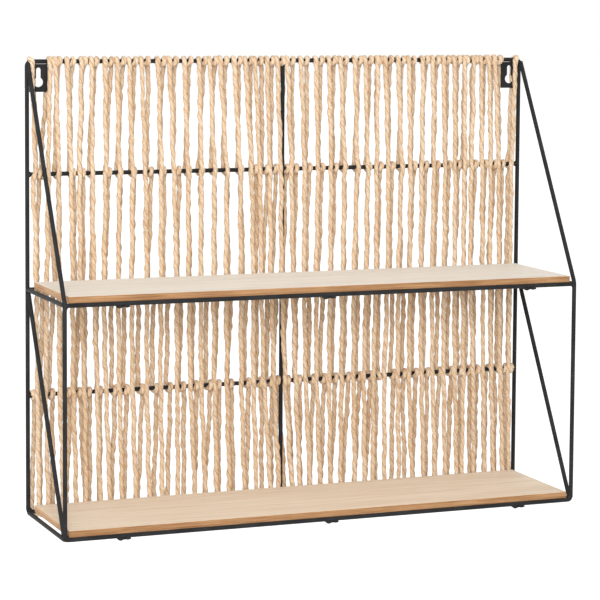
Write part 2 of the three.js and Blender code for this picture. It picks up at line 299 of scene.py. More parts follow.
def noise_on(tree, vector, scale, detail=3, stretch=(1, 1, 1), roughness=0.5):
    """Cloudy grey values. A stretch below 1 draws them out along that axis."""
    mapped = add_node(tree, "ShaderNodeMapping", {"Vector": vector, "Scale": stretch})
    noise = add_node(tree, "ShaderNodeTexNoise", {
        "Vector": mapped.outputs[0], "Scale": scale, "Detail": detail, "Roughness": roughness})
    return noise.outputs["Fac"]


def darkened(tree, colour, tint, weight):
    """The colour multiplied by a tint, from not at all (weight 0) to fully (weight 1)."""
    mix = add_node(tree, "ShaderNodeMix",
                   {MIX_COLOUR: colour, MIX_TINT: tint, MIX_WEIGHT: weight},
                   data_type="RGBA", blend_type="MULTIPLY")
    return mix.outputs[MIX_RESULT]


def bump_from(tree, height, distance, strength):
    bump = add_node(tree, "ShaderNodeBump", {
        "Height": height, "Distance": distance, "Strength": strength})
    return bump.outputs["Normal"]


print("surface helpers ready")

# %% [markdown]
# ## Black paint on the wires
# The frame is welded from wire and then powder coated. The coat is satin, with a very fine
# skin like orange peel, and a little greyer where the powder lies thicker. One flat black would
# be quicker, but it looks like a cut-out. Fine noise in the bump breaks up the highlights, and
# slow noise changes the tone and the gloss from one stretch of wire to the next.

# %% Frame paint
def make_frame_paint():
    material, tree, shader = new_material("black_powder_coat", 0.45, specular=0.04)
    place = object_place(tree)
    peel = noise_on(tree, place, scale=1500, detail=2)
    cloud = noise_on(tree, place, scale=60)
    colour = ramp(tree, cloud, [(0.3, srgb(35, 35, 36)), (0.7, srgb(46, 46, 47))])
    gloss = ramp(tree, cloud, [(0.3, grey(0.32)), (0.7, grey(0.46))])
    bump = bump_from(tree, peel, distance=0.12 * MM, strength=0.35)
    tree.links.new(colour, shader.inputs["Base Color"])
    tree.links.new(gloss, shader.inputs["Roughness"])
    tree.links.new(bump, shader.inputs["Normal"])
    return material


frame_paint = make_frame_paint()
print("frame material:", frame_paint.name)

# %% [markdown]
# ## Blackened screws
# The screws that hold the boards are steel with a thin black skin, so some of the metal's shine
# comes through. That is why this material is metallic and the paint is not. Every imported wire,
# plate, tab and screw has the right shape already, so it only changes its material.

# %% Screw steel, and both finishes on the imported pieces
def make_screw_steel():
    material, tree, shader = new_material("blackened_steel", 0.34, metallic=0.85)
    marks = noise_on(tree, object_place(tree), scale=900, detail=2, stretch=(1, 1, 0.3))
    colour = ramp(tree, marks, [(0.3, srgb(52, 50, 48)), (0.7, srgb(84, 82, 80))])
    bump = bump_from(tree, marks, distance=0.1 * MM, strength=0.3)
    tree.links.new(colour, shader.inputs["Base Color"])
    tree.links.new(bump, shader.inputs["Normal"])
    return material


screw_steel = make_screw_steel()
metal_names = [name for name in nodes if "rope" not in name and "board" not in name]
for name in metal_names:
    finishes = nodes[name].data.materials
    finishes.clear()
    finishes.append(screw_steel if "screw" in name else frame_paint)
print("painted:", len(metal_names))

# %% [markdown]
# ## Board skin
# The boards are thin pressed board with a pale matt skin on both faces, which shows a faint
# grain along the shelf. The grain could be drawn as single lines, but noise that is drawn out
# along X gives the same streaks at any size, and slow clouds of noise tint them.

# %% Board skin
def make_board_skin(name, dark, middle, light):
    """Three tones of one skin's grain. The lower board's tones are darker and warmer: painted
    shade under the upper board.
    """
    material, tree, shader = new_material(name, 0.55, specular=0.3)
    place = object_place(tree)
    grain = noise_on(tree, place, scale=260, detail=5, stretch=(0.035, 1, 1), roughness=0.6)
    cloud = noise_on(tree, place, scale=9, stretch=(0.25, 1, 1))
    skin = ramp(tree, grain, [(0.3, srgb(*dark)), (0.5, srgb(*middle)), (0.72, srgb(*light))])
    tint = ramp(tree, cloud, [(0.35, grey(0.955)), (0.65, grey(1.0))])
    gloss = ramp(tree, grain, [(0.3, grey(0.62)), (0.7, grey(0.48))])
    bump = bump_from(tree, grain, distance=0.15 * MM, strength=0.4)
    tree.links.new(darkened(tree, skin, tint, 1.0), shader.inputs["Base Color"])
    tree.links.new(gloss, shader.inputs["Roughness"])
    tree.links.new(bump, shader.inputs["Normal"])
    return material


board_skins = {
    "upper_board": make_board_skin(
        "upper_board_skin", (217, 206, 192), (228, 219, 207), (234, 227, 217)),
    # the lower board's darker, warmer skin is painted shade, for the shade under the upper board
    "lower_board": make_board_skin(
        "lower_board_skin_painted_shade", (210, 188, 162), (222, 203, 181), (229, 214, 194)),
}
print("board skins:", [skin.name for skin in board_skins.values()])

# %% [markdown]
# ## Raw edges
# The sawn edges are bare: warmer, browner, and streaked along the board in thin layers. The
# short ends take paler tones: painted light, for the light from the left that falls on them. Both
# are one function with other colours, because the layers are the same and only the tone differs.

# %% Raw edge and raw end
def make_raw_edge(name, dark, middle, light):
    """The bare side of the pressed board, in three tones."""
    material, tree, shader = new_material(name, 0.8, specular=0.2)
    place = object_place(tree)
    layers = noise_on(tree, place, scale=700, detail=4, stretch=(0.03, 0.03, 1), roughness=0.65)
    blotch = noise_on(tree, place, scale=60, detail=4, stretch=(0.3, 0.3, 1.4))
    layer_colour = ramp(tree, layers, [(0.28, srgb(*dark)), (0.5, srgb(*middle)),
                                       (0.75, srgb(*light))])
    tint = ramp(tree, blotch, [(0.3, srgb(222, 214, 206)), (0.62, grey(1.0))])
    bump = bump_from(tree, layers, distance=0.3 * MM, strength=0.6)
    tree.links.new(darkened(tree, layer_colour, tint, 0.8), shader.inputs["Base Color"])
    tree.links.new(bump, shader.inputs["Normal"])
    return material


raw_edge = make_raw_edge("raw_board_edge", (129, 89, 56), (163, 122, 84), (185, 147, 109))
# the ends' paler tones are painted light, for the light from the left that falls on them
lit_raw_end = make_raw_edge("raw_board_end_painted_light", (184, 141, 102), (212, 172, 134), (227, 194, 158))
print("bare wood:", raw_edge.name, lit_raw_end.name)

# %% [markdown]
# ## From mesh to piece
# Every new piece needs the same few things at its end: faces that point outwards, its materials,
# a place in the scene and the body that it rides on. One helper does them all, so none is
# forgotten.

# %% Piece helper
def add_piece(name, bm, materials, slot, *replaced):
    """Turn a bmesh into an object that rides on the shelf. slot is not used."""
    bmesh.ops.recalc_face_normals(bm, faces=bm.faces)
    mesh = bpy.data.meshes.new(name)
    bm.to_mesh(mesh)
    bm.free()
    for material in materials:
        mesh.materials.append(material)
    piece = bpy.data.objects.new(name, mesh)
    bpy.context.scene.collection.objects.link(piece)
    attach(piece, "root")
    if replaced:
        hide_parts(*replaced)
    return piece


print("piece helper ready")

# %% [markdown]
# ## Boards
# Each board is a plain sawn panel. A cube stretched to the panel's box and softened with a small
# bevel gives the thin bright line that a real board shows along its worn upper edge. A Bevel
# modifier would round it too, but after the operator all faces are there to be given a finish:
# the two broad ones take the skin, the long edges the raw edge, the short ends the paler end.

# %% Boards
SKIN = 0.4 * MM  # the skin on each face
SETTLE = 0.4 * MM  # how far the board has settled on the wire's painted crown
WORN_EDGE = 0.5 * MM  # width of the bevel
FACING = 0.9  # least part of a face's normal along an axis to count as facing it
SKIN_FINISH, EDGE_FINISH, END_FINISH = 0, 1, 2


def board_finish(normal):
    """Which finish a face takes, from the way it faces."""
    if abs(normal.z) > FACING:
        return SKIN_FINISH
    return END_FINISH if abs(normal.x) > FACING else EDGE_FINISH


def add_board(name):
    low, high = (Vector(corner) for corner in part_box(name))
    low.z -= SKIN + SETTLE
    high.z += SKIN
    bm = bmesh.new()
    bmesh.ops.create_cube(bm, size=1)
    bmesh.ops.scale(bm, verts=bm.verts, vec=high - low)
    bmesh.ops.translate(bm, verts=bm.verts, vec=(low + high) / 2)
    bmesh.ops.bevel(bm, geom=bm.edges, offset=WORN_EDGE, offset_type="OFFSET", affect="EDGES",
                    segments=2, profile=0.5, material=-1)
    for face in bm.faces:
        face.material_index = board_finish(face.normal)
        face.smooth = False
    finishes = [board_skins[name], raw_edge, lit_raw_end]
    return add_piece("dressed_" + name, bm, finishes, "board_wood", name)


for board in ("upper_board", "lower_board"):
    print(add_board(board).name)

# %% [markdown]
# ## Weld beads
# Where two wires meet, the real frame has a small puddle of weld metal under the paint. It could
# be sculpted, or grown from both wires with a boolean. A ball pressed onto the joint is enough,
# because only its outer part shows: it is stretched, roughened and smoothed a little, so that it
# swells out of both wires.

# %% Weld bead helper
BEAD_DENTS = (-0.05, 0.07)  # how far the skin of a bead goes in and out, as a share of its size


def add_bead(name, x, y, z, wide, deep, tall):
    """Place and size are in millimetres."""
    shaker = random.Random(name)
    bm = bmesh.new()
    bmesh.ops.create_icosphere(bm, subdivisions=3, radius=0.5 * MM)
    bmesh.ops.scale(bm, verts=bm.verts, vec=(wide, deep, tall))
    for vertex in bm.verts:
        vertex.co *= 1 + shaker.uniform(*BEAD_DENTS)
    bmesh.ops.smooth_vert(bm, verts=bm.verts, factor=0.5, use_axis_x=True, use_axis_y=True,
                          use_axis_z=True)
    bmesh.ops.translate(bm, verts=bm.verts, vec=Vector((x, y, z)) * MM)
    for face in bm.faces:
        face.smooth = True
    return add_piece("weld_" + name, bm, [frame_paint], "frame_paint")


print("a bead's skin varies by", BEAD_DENTS)

# %% Beads where the wires meet
BEADS = {  # name: (x, y, z, size across X, Y and Z in mm)
    "shelf_left_front": (-296.6, -152.2, -242.5, 6.2, 6.6, 7.6),
    "shelf_right_front": (296.6, -152.2, -242.5, 6.0, 6.2, 7.2),
    "bottom_left_front": (-296.4, -151.4, -486.6, 7.0, 7.2, 7.6),
    "bottom_right_front": (296.4, -151.4, -486.6, 6.6, 6.8, 7.4),
    "bottom_left_back": (-296.6, -8.8, -486.6, 6.6, 7.0, 7.6),
    "bottom_right_back": (296.6, -8.8, -486.6, 6.4, 6.8, 7.2),
    "shelf_left_back": (-297.0, -9.2, -242.2, 5.8, 7.0, 7.0),
    "shelf_right_back": (297.0, -9.2, -242.2, 5.8, 7.0, 7.0),
    "top_left": (-296.3, -9.0, 3.8, 6.0, 6.2, 6.6),
    "top_right": (296.3, -9.0, 3.8, 6.0, 6.2, 6.6),
    "centre_top": (0.0, -7.3, 4.2, 7.0, 5.6, 5.2),
    "centre_bottom": (0.0, -7.3, -486.0, 7.0, 5.6, 5.2),
    "centre_shelf": (0.0, -7.3, -242.0, 7.2, 5.6, 7.0),
    "centre_upper_mid": (0.0, -7.3, -116.0, 7.2, 5.6, 7.0),
    "centre_lower_mid": (0.0, -7.3, -358.6, 7.2, 5.6, 7.0),
    "left_upper_mid": (-295.8, -7.3, -116.0, 6.2, 5.6, 7.0),
    "right_upper_mid": (295.8, -7.3, -116.0, 6.2, 5.6, 7.0),
    "left_lower_mid": (-295.8, -7.3, -358.6, 6.2, 5.6, 7.0),
    "right_lower_mid": (295.8, -7.3, -358.6, 6.2, 5.6, 7.0),
}
print("beads on the frame:", len(BEADS))

# %% Beads on the front tabs
TAB_X = {"upper": (-234.2, -0.9, 241.9), "lower": (-232.7, 4.5, 231.5)}
TAB_BAR_Z = {"upper": -242.0, "lower": -488.6}
TAB_BEAD_Y = -152.4
TAB_BEAD_SIZE = (6.4, 5.0, 4.0)
TAB_ENDS = (("a", -4.1, 3.2), ("b", 3.9, 2.7))  # to the side of the tab, and below the bar
for shelf, bar_z in TAB_BAR_Z.items():
    for place, tab_x in zip(("left", "centre", "right"), TAB_X[shelf]):
        for end, offset, drop in TAB_ENDS:
            bead_place = (tab_x + offset, TAB_BEAD_Y, bar_z - drop)
            BEADS[f"{shelf}_{place}_tab_{end}"] = bead_place + TAB_BEAD_SIZE

for name, bead in BEADS.items():
    add_bead(name, *bead)
print("weld beads:", len(BEADS))

# %% [markdown]
# ## Rope material
# The rope is straw or paper cord: two plies laid round each other. It is matt and pale, with fine
# fibres along it and slow changes of colour from one stretch to the next. The groove between the
# plies is painted darker and browner: painted shade where the plies press together. A pattern on
# the object's own coordinates would cut straight through the rope. The groove must follow the
# twist, so the rope's mesh carries its own coordinates: how far round its section a point lies,
# and how far along.

# %% Rope material
def rope_coordinates(tree, name):
    """Coordinates that the rope's mesh carries under this name."""
    return add_node(tree, "ShaderNodeAttribute", attribute_name=name).outputs["Vector"]


def make_rope_fibre():
    material, tree, shader = new_material("straw_rope", 0.78, specular=0.25)
    shader.inputs["Sheen Weight"].default_value = 0.25
    shader.inputs["Sheen Roughness"].default_value = 0.5
    shader.inputs["Sheen Tint"].default_value = (1, 0.93, 0.82, 1)
    lay = rope_coordinates(tree, "rope_lay")
    fibre_way = rope_coordinates(tree, "rope_fibres")
    across = add_node(tree, "ShaderNodeSeparateXYZ", {"Vector": lay}).outputs["X"]
    crown = add_node(tree, "ShaderNodeMath", {0: across}, operation="ABSOLUTE").outputs[0]
    fibres = noise_on(tree, fibre_way, scale=5, detail=5, stretch=(1, 1, 0.2), roughness=0.68)
    strips = noise_on(tree, fibre_way, scale=1.8, stretch=(1, 1, 0.35))
    stretch_tone = noise_on(tree, object_place(tree), scale=38, detail=2, stretch=(1, 1, 0.35))
    colour = ramp(tree, fibres, [(0.32, srgb(162, 116, 74)), (0.43, srgb(218, 188, 154)),
                                 (0.565, srgb(234, 214, 189)), (0.72, srgb(244, 232, 215))])
    strip_tint = ramp(tree, strips, [(0.32, srgb(236, 224, 210)), (0.55, grey(1.0))])
    tone_tint = ramp(tree, stretch_tone, [(0.32, srgb(241, 233, 223)), (0.62, grey(1.0))])
    # painted shade: the groove between the two plies is darkened and browned, where shade falls
    # between them
    groove_painted_shade = ramp(tree, crown, [(0.0, srgb(206, 172, 140)), (0.18, srgb(236, 219, 200)),
                                     (0.42, grey(1.0))])
    for tint in (strip_tint, tone_tint, groove_painted_shade):
        colour = darkened(tree, colour, tint, 0.8)
    rough = ramp(tree, fibres, [(0.3, grey(0.9)), (0.7, grey(0.68))])
    bump = bump_from(tree, fibres, distance=1.2 * MM, strength=0.95)
    tree.links.new(colour, shader.inputs["Base Color"])
    tree.links.new(rough, shader.inputs["Roughness"])
    tree.links.new(bump, shader.inputs["Normal"])
    return material


rope_fibre = make_rope_fibre()
print("rope material:", rope_fibre.name)

# %% [markdown]
# ## Where the rope runs
# The panel was wound by hand, so no two strands are alike. Random steps would look wound by hand
# too, but with other gaps than in the photograph. So tables hold, in millimetres, the place of
# each strand across the shelf: the front runs at the five bars, and the back runs at the top and
# the bottom of each bay between bars. Strand 0 and strand 41 are the two edges.

# %% Front runs
FRONT_RUNS = [
    (-292.8, -291.0, -289.0, -288.0, -286.5), (-273.0, -275.4, -277.4, -278.6, -276.0),
    (-266.7, -263.5, -263.6, -262.5, -258.7), (-253.8, -249.7, -247.8, -247.3, -243.7),
    (-237.4, -240.3, -238.5, -234.3, -232.7), (-226.3, -225.4, -223.7, -219.9, -216.3),
    (-210.6, -210.0, -212.6, -209.8, -204.8), (-196.9, -194.5, -195.5, -194.1, -190.9),
    (-183.1, -179.3, -180.4, -178.9, -174.8), (-169.0, -164.2, -162.7, -162.3, -158.9),
    (-149.9, -145.9, -145.9, -146.5, -143.5), (-136.3, -131.4, -127.1, -126.7, -125.4),
    (-119.0, -114.7, -113.5, -110.7, -104.9), (-101.7, -98.8, -99.5, -97.9, -92.1),
    (-89.4, -83.3, -84.1, -82.3, -78.7), (-76.8, -68.9, -68.6, -67.4, -63.6),
    (-60.4, -52.7, -51.2, -49.9, -45.6), (-47.1, -38.9, -36.3, -35.3, -30.9),
    (-35.4, -29.0, -26.5, -22.7, -12.9), (-21.0, -17.1, -14.9, -10.4, -3.5),
    (-8.8, -3.5, -2.0, 3.0, 13.2), (3.3, 9.4, 11.9, 15.9, 22.7),
    (20.2, 25.2, 25.9, 28.3, 35.6), (38.5, 41.8, 40.3, 42.0, 47.5),
    (54.5, 58.0, 57.6, 57.4, 60.4), (68.6, 74.4, 73.1, 72.7, 72.9),
    (86.5, 90.2, 87.3, 87.9, 90.9), (99.3, 103.3, 102.5, 101.1, 102.7),
    (114.7, 114.7, 115.1, 113.1, 113.2), (124.3, 129.1, 130.0, 126.5, 128.3),
    (140.5, 145.8, 143.2, 143.8, 146.7), (153.8, 157.2, 157.6, 158.0, 163.7),
    (171.5, 171.5, 171.4, 173.6, 178.8), (184.2, 186.9, 186.3, 187.8, 193.3),
    (197.7, 201.3, 201.3, 202.4, 206.0), (211.8, 214.3, 214.9, 216.8, 221.1),
    (225.0, 226.3, 226.0, 227.6, 227.7), (237.0, 234.9, 235.6, 240.6, 243.2),
    (245.9, 248.9, 251.7, 253.7, 257.2), (256.5, 260.4, 260.7, 264.4, 268.9),
    (264.1, 270.7, 272.8, 276.0, 281.6), (290.8, 287.4, 287.2, 286.8, 289.5),
]
print("front runs:", len(FRONT_RUNS))

# %% Back runs
BACK_RUNS = [
    (-289.8, -286.0, -283.5, -286.2, -279.0, -283.0, -282.1, -283.0),
    (-273.5, -281.0, -274.0, -264.5, -267.2, -272.6, -268.8, -268.2),
    (-261.9, -265.8, -260.5, -261.1, -253.7, -256.7, -248.1, -253.0),
    (-246.6, -248.8, -244.4, -242.2, -237.3, -242.7, -236.8, -231.1),
    (-234.0, -236.9, -233.7, -232.6, -231.5, -231.4, -225.9, -226.1),
    (-219.9, -226.8, -222.4, -223.5, -218.5, -217.5, -213.7, -214.5),
    (-201.4, -207.3, -203.8, -208.6, -200.8, -200.5, -196.4, -200.8),
    (-187.9, -194.4, -190.4, -192.5, -185.4, -186.8, -183.1, -186.0),
    (-174.1, -178.6, -174.6, -176.7, -169.2, -169.9, -164.4, -169.7),
    (-158.0, -160.1, -154.2, -158.2, -151.8, -153.3, -147.6, -150.9),
    (-141.9, -145.4, -139.1, -140.2, -134.1, -136.8, -131.6, -135.0),
    (-128.3, -128.3, -121.8, -124.4, -118.0, -121.9, -115.7, -115.4),
    (-110.8, -114.5, -111.1, -108.7, -104.8, -106.1, -100.3, -102.1),
    (-93.9, -98.5, -96.7, -94.6, -88.8, -89.9, -83.3, -90.7),
    (-81.4, -83.7, -80.0, -78.7, -75.7, -79.4, -73.2, -73.9),
    (-67.8, -69.6, -65.5, -62.7, -58.4, -64.1, -58.8, -55.9),
    (-51.6, -52.2, -49.2, -44.8, -41.5, -43.4, -37.5, -39.7),
    (-38.0, -36.4, -29.4, -29.2, -28.0, -29.0, -22.3, -21.0),
    (-23.7, -23.2, -15.8, -21.8, -14.9, -16.1, -9.7, -9.8),
    (-12.2, -12.4, -5.9, -10.2, -4.5, -7.9, -2.0, 7.0),
    (1.3, 1.1, 6.3, 3.1, 7.5, 5.0, 10.5, 16.8),
    (12.9, 13.7, 18.6, 16.5, 20.5, 18.4, 24.6, 26.4),
    (31.2, 30.7, 34.6, 31.2, 36.0, 35.7, 41.9, 37.5),
    (47.4, 46.2, 50.6, 46.5, 52.8, 49.8, 55.4, 51.5),
    (63.1, 63.4, 66.6, 62.8, 67.1, 63.8, 69.5, 63.8),
    (78.5, 74.7, 78.2, 79.1, 81.4, 78.8, 85.8, 78.7),
    (94.8, 90.9, 93.4, 94.0, 97.0, 94.5, 99.6, 93.8),
    (108.1, 105.5, 107.2, 107.7, 109.4, 109.9, 113.7, 107.4),
    (117.1, 118.9, 122.8, 120.4, 123.4, 121.3, 120.8, 120.2),
    (133.2, 133.4, 137.7, 136.0, 140.6, 138.9, 141.8, 141.0),
    (148.7, 146.5, 148.7, 150.1, 154.0, 153.6, 153.7, 158.3),
    (164.3, 161.4, 165.6, 160.6, 166.6, 165.4, 171.3, 168.2),
    (178.2, 175.1, 181.7, 176.4, 181.2, 180.1, 185.8, 184.9),
    (192.2, 190.6, 196.1, 192.4, 198.4, 197.2, 201.3, 196.0),
    (206.9, 206.1, 210.6, 207.1, 212.0, 210.8, 216.8, 213.5),
    (219.3, 219.4, 222.6, 219.7, 223.2, 224.2, 228.5, 230.0),
    (229.1, 228.2, 231.3, 231.3, 235.3, 235.0, 240.9, 242.0),
    (238.5, 239.8, 244.3, 240.0, 244.6, 245.8, 250.0, 248.8),
    (254.2, 252.7, 257.7, 254.3, 268.3, 268.3, 262.2, 261.3),
    (264.2, 264.1, 270.5, 262.8, 276.4, 275.4, 274.1, 275.1),
    (273.8, 275.3, 279.7, 277.9, 281.4, 280.4, 287.4, 287.5),
    (291.0, 288.0, 288.0, 287.5, 290.6, 290.4, 290.2, 290.5),
]
print("back runs:", len(BACK_RUNS))

# %% [markdown]
# ## How the rope is wound
# A strand climbs in front of all the bars, goes one and a half times round the top bar, and
# comes down behind, with one full turn round each bar on its way. Under the bottom bar it
# becomes the next strand. An Array modifier could repeat one strand, but all would be alike and
# none would be joined. Each helper below returns a list of points instead, so that a whole half
# of the panel is one long line, as the real rope is.

# %% Turns round a bar
ROPE_RADIUS = 2.5 * MM
REACH = 4.9 * MM  # centre of the rope from the centre of a bar, in front
PRESSED_REACH = 3.7 * MM  # the same above and below a bar, where it is pulled flat
WALL_REACH = 4.4 * MM  # behind a bar, where the wall presses on the rope
TOP_REACH = 3.0 * MM  # over the top bar, where the pull is strongest
TURN_STEPS = 13  # points in one full turn
FRONT, BEHIND = 0.0, 0.5  # where a turn starts, as a share of a full turn


def round_bar(bar_z, angle):
    """Y and Z of a rope pulled tight round a bar: flatter above and below than in front."""
    upright = TOP_REACH if bar_z == TOP_Z and math.sin(angle) > 0 else PRESSED_REACH
    level = REACH if math.cos(angle) > 0 else WALL_REACH
    return BACK_Y - level * math.cos(angle), bar_z + upright * math.sin(angle)


def turn(bar_z, start_x, end_x, start_turn, turns):
    """Points round a bar, the way that the rope goes: front, top, behind, below. start_turn is
    FRONT or BEHIND."""
    steps = round(TURN_STEPS * turns)
    points = []
    for step in range(steps + 1):
        share = step / steps
        angle = 2 * math.pi * (start_turn + turns * share)
        points.append(Vector((start_x + (end_x - start_x) * share, *round_bar(bar_z, angle))))
    return points


print("reach", round(REACH / MM, 2), "mm in front,", round(TOP_REACH / MM, 2), "mm over the top")

# %% Runs from bar to bar
RUN_STEP = 2.7 * MM  # height from one point of a run to the next
EASE = 17 * MM  # height in which a strand eases from a turn to its line
SWAY = 0.5 * MM  # slow wandering of a hand-wound strand
WOBBLE = 0.35 * MM  # short bumps where the straw is thick or thin


def smooth(share):
    """From 0 to 1 with a soft start and a soft end."""
    share = min(max(share, 0.0), 1.0)
    return share * share * (3 - 2 * share)


def run_heights(start_z, end_z):
    """The heights of a run's points, without its two ends, which belong to the turns."""
    count = round(abs(end_z - start_z) / RUN_STEP)
    return [start_z + (end_z - start_z) * step / count for step in range(1, count)]


def between(places, z):
    """The strand's place at height z, on the straight line from one bar to the next."""
    for upper in range(len(BAR_LEVELS) - 1):
        top_z, low_z = BAR_LEVELS[upper], BAR_LEVELS[upper + 1]
        if z >= low_z:
            share = (top_z - z) / (top_z - low_z)
            return places[upper] + (places[upper + 1] - places[upper]) * share


def wander(z, rates, phase):
    """How far a strand strays to the side. The inner sines keep the bumps from coming evenly."""
    sway_rate, bump_rate, bump_drift, nub_rate, nub_drift = rates
    stray = SWAY * math.sin(z * sway_rate + phase)
    stray += WOBBLE * math.sin(z * bump_rate + 2 * math.sin(z * bump_drift + phase))
    stray += WOBBLE / 2 * math.sin(z * nub_rate + 3 * math.sin(z * nub_drift + phase))
    return stray


def led_to_ends(line_x, z, low_end, high_end, rates, phase):
    """X at height z, and how free the strand is there, from 0 at a turn to 1. Each end is
    (height, how far from the strand's own line the turn lies)."""
    from_low = smooth((z - low_end[0]) / EASE)
    from_high = smooth((high_end[0] - z) / EASE)
    free = from_low * from_high
    x = line_x + low_end[1] * (1 - from_low) + high_end[1] * (1 - from_high)
    return x + free * wander(z, rates, phase), free


print("points in a front run:", len(run_heights(BOTTOM_Z, TOP_Z)))

# %% [markdown]
# ## Front runs and back runs
# A knob is the full turn that a back run makes round a middle bar. A front run bows forward by a
# few millimetres where it lies over a knob of its own back run. A back run arrives at each knob
# where the turn starts, leaves it where the turn ends and eases over to its own line.

# %% Front run
FRONT_RATES = (95, 233, 71, 530, 47)  # the wandering's rates, in radians per metre of height
KNOB_LIFT = 3.6 * MM
KNOB_WIDTH = 5.2 * MM  # further to the side than this, a knob lifts nothing
KNOB_HEIGHT = 15 * MM  # and neither does it further above or below
SLACK = 0.35 * MM  # a front run stands off a little between the bars
SLACK_RATE = 70
SHELF_CLEARANCE = 20 * MM  # but not beside the upper board


def knob_lift(x, z, knobs):
    """How far a front run bows over the knobs under it. knobs are (height, x)."""
    lift = 0
    for knob_z, knob_x in knobs:
        over = max(0, 1 - abs(x - knob_x) / KNOB_WIDTH) ** 0.5
        lift = max(lift, KNOB_LIFT * over * (1 - smooth(abs(z - knob_z) / KNOB_HEIGHT)))
    return lift


def front_run(index, start_x, end_x, knobs, sway):
    """Upwards, in front of the bars."""
    places = [x * MM for x in FRONT_RUNS[index]]
    low_end = (BOTTOM_Z, start_x - places[-1])
    high_end = (TOP_Z, end_x - places[0])
    points = []
    for z in run_heights(BOTTOM_Z, TOP_Z):
        x, free = led_to_ends(between(places, z), z, low_end, high_end, FRONT_RATES, sway)
        lift = knob_lift(x, z, knobs)
        if abs(z - SHELF_Z) > SHELF_CLEARANCE:
            lift += SLACK * free * (1 + math.sin(z * SLACK_RATE + 2 * sway))
        points.append(Vector((x, BACK_Y - REACH - lift, z)))
    return points


print("a front run bows by up to", round(KNOB_LIFT / MM, 1), "mm over a knob")

# %% Knobs on the middle bars
LEAST_ADVANCE = 4.7 * MM  # a full turn needs the rope's own width
MOST_ADVANCE = 7.6 * MM  # and lies too slack beyond this
KNOB_GAP = 0.3 * MM  # between a knob and the centre post


def advance(start_x, end_x):
    """How far a full turn moves along its bar, on the way from one place to another."""
    size = min(max(abs(end_x - start_x), LEAST_ADVANCE), MOST_ADVANCE)
    return size if end_x >= start_x else -size


def knob_places(index):
    """Where a back run arrives at and leaves each middle bar, clear of the centre post."""
    places = [x * MM for x in BACK_RUNS[index]]
    least = WIRE_RADIUS + ROPE_RADIUS + KNOB_GAP
    knobs = []
    for bay in range(3):
        arrive, leave = places[2 * bay + 1], places[2 * bay + 2]
        half = advance(arrive, leave) / 2
        middle = (arrive + leave) / 2
        if abs(middle) < least:
            middle = math.copysign(least, middle)
        knobs.append((middle - half, middle + half))
    return knobs


print("knobs of strand 1 at", [round(start, 3) for start, end in knob_places(1)])

# %% Back run
BACK_RATES = (80, 251, 63, 510, 41)
BACK_SLACK = 0.2 * MM
BACK_SLACK_RATE = 60


def back_run(index, start_x, end_x, knobs, sway):
    """Downwards behind the bars, with a full turn at each of the knobs (start x, end x)."""
    places = [x * MM for x in BACK_RUNS[index]]
    points = []
    leave_x = start_x
    for bay, (knob_start, knob_end) in enumerate(knobs + [(end_x, end_x)]):
        top_z, low_z = BAR_LEVELS[bay], BAR_LEVELS[bay + 1]
        first, last = places[2 * bay], places[2 * bay + 1]
        low_end, high_end = (low_z, knob_start - last), (top_z, leave_x - first)
        for z in run_heights(top_z, low_z):
            share = (top_z - z) / (top_z - low_z)
            line_x = first + (last - first) * share
            x, free = led_to_ends(line_x, z, low_end, high_end, BACK_RATES, -sway)
            slack = BACK_SLACK * free * math.sin(z * BACK_SLACK_RATE + sway)
            points.append(Vector((x, BACK_Y + WALL_REACH + slack, z)))
        if bay < len(knobs):
            points += turn(low_z, knob_start, knob_end, BEHIND, 1)
        leave_x = knob_end
    return points


print("points in a back run:", len(back_run(1, 0, 0, knob_places(1), sway=0)))

# %% [markdown]
# ## From line to rope
# Two tubes could be wound round each other, but that takes twice the faces and leaves a seam
# between them. Here a curve sweeps one two-ply section along the line, and the tilt of each
# point turns the section, which lays the plies round each other. The curve becomes a mesh, and
# each ring of the mesh gets the coordinates that the material reads.

# %% The two-ply section
SECTION = [(20, 1.09), (60, 1.0), (90, 0.86), (120, 1.0), (160, 1.09)]  # degrees, share
SECTION += [(degrees + 180, share) for degrees, share in SECTION]


def add_section():
    curve = bpy.data.curves.new("rope_section", "CURVE")
    curve.dimensions = "2D"
    line = curve.splines.new("POLY")
    line.points.add(len(SECTION) - 1)
    for point, (degrees, share) in zip(line.points, SECTION):
        angle = math.radians(degrees)
        reach = ROPE_RADIUS * share
        point.co = (reach * math.cos(angle), reach * math.sin(angle), 0, 1)
    line.use_cyclic_u = True
    section = bpy.data.objects.new("rope_section", curve)
    bpy.context.scene.collection.objects.link(section)
    return section


print("section points:", len(SECTION))

# %% Thick and thin places
SWELL, SWELL_RATES = 0.05, (61, 23)  # slow swells: share of the radius, radians per metre
LUMP, LUMP_RATE, LUMP_DRIFT = 0.05, 430, 37
NUB, NUB_RATE, NUB_DRIFT = 0.035, 790, 53
LOWER_EXTRA = 0.05  # the rope is a little thicker below the shelf bar
LOWER_EASE = 6 * MM
TOP_SPREAD, BAR_SPREAD = 0.12, 0.05  # how much wider it is where it is pulled flat
NEAR_TOP_Z = UPPER_MID_Z / 2  # above this, the rope is near the top bar
PRESSED_WITHIN = 4.4 * MM  # this near to a bar's centre it is pulled fully flat
PRESSED_EASE = 4 * MM


def pressed(point):
    """How hard the rope is pulled onto the nearest bar, from 0 to 1."""
    bar_z = min(BAR_LEVELS, key=lambda level: abs(level - point.z))
    reach = math.hypot(point.y - BACK_Y, point.z - bar_z)
    return 1 - smooth((reach - PRESSED_WITHIN) / PRESSED_EASE)


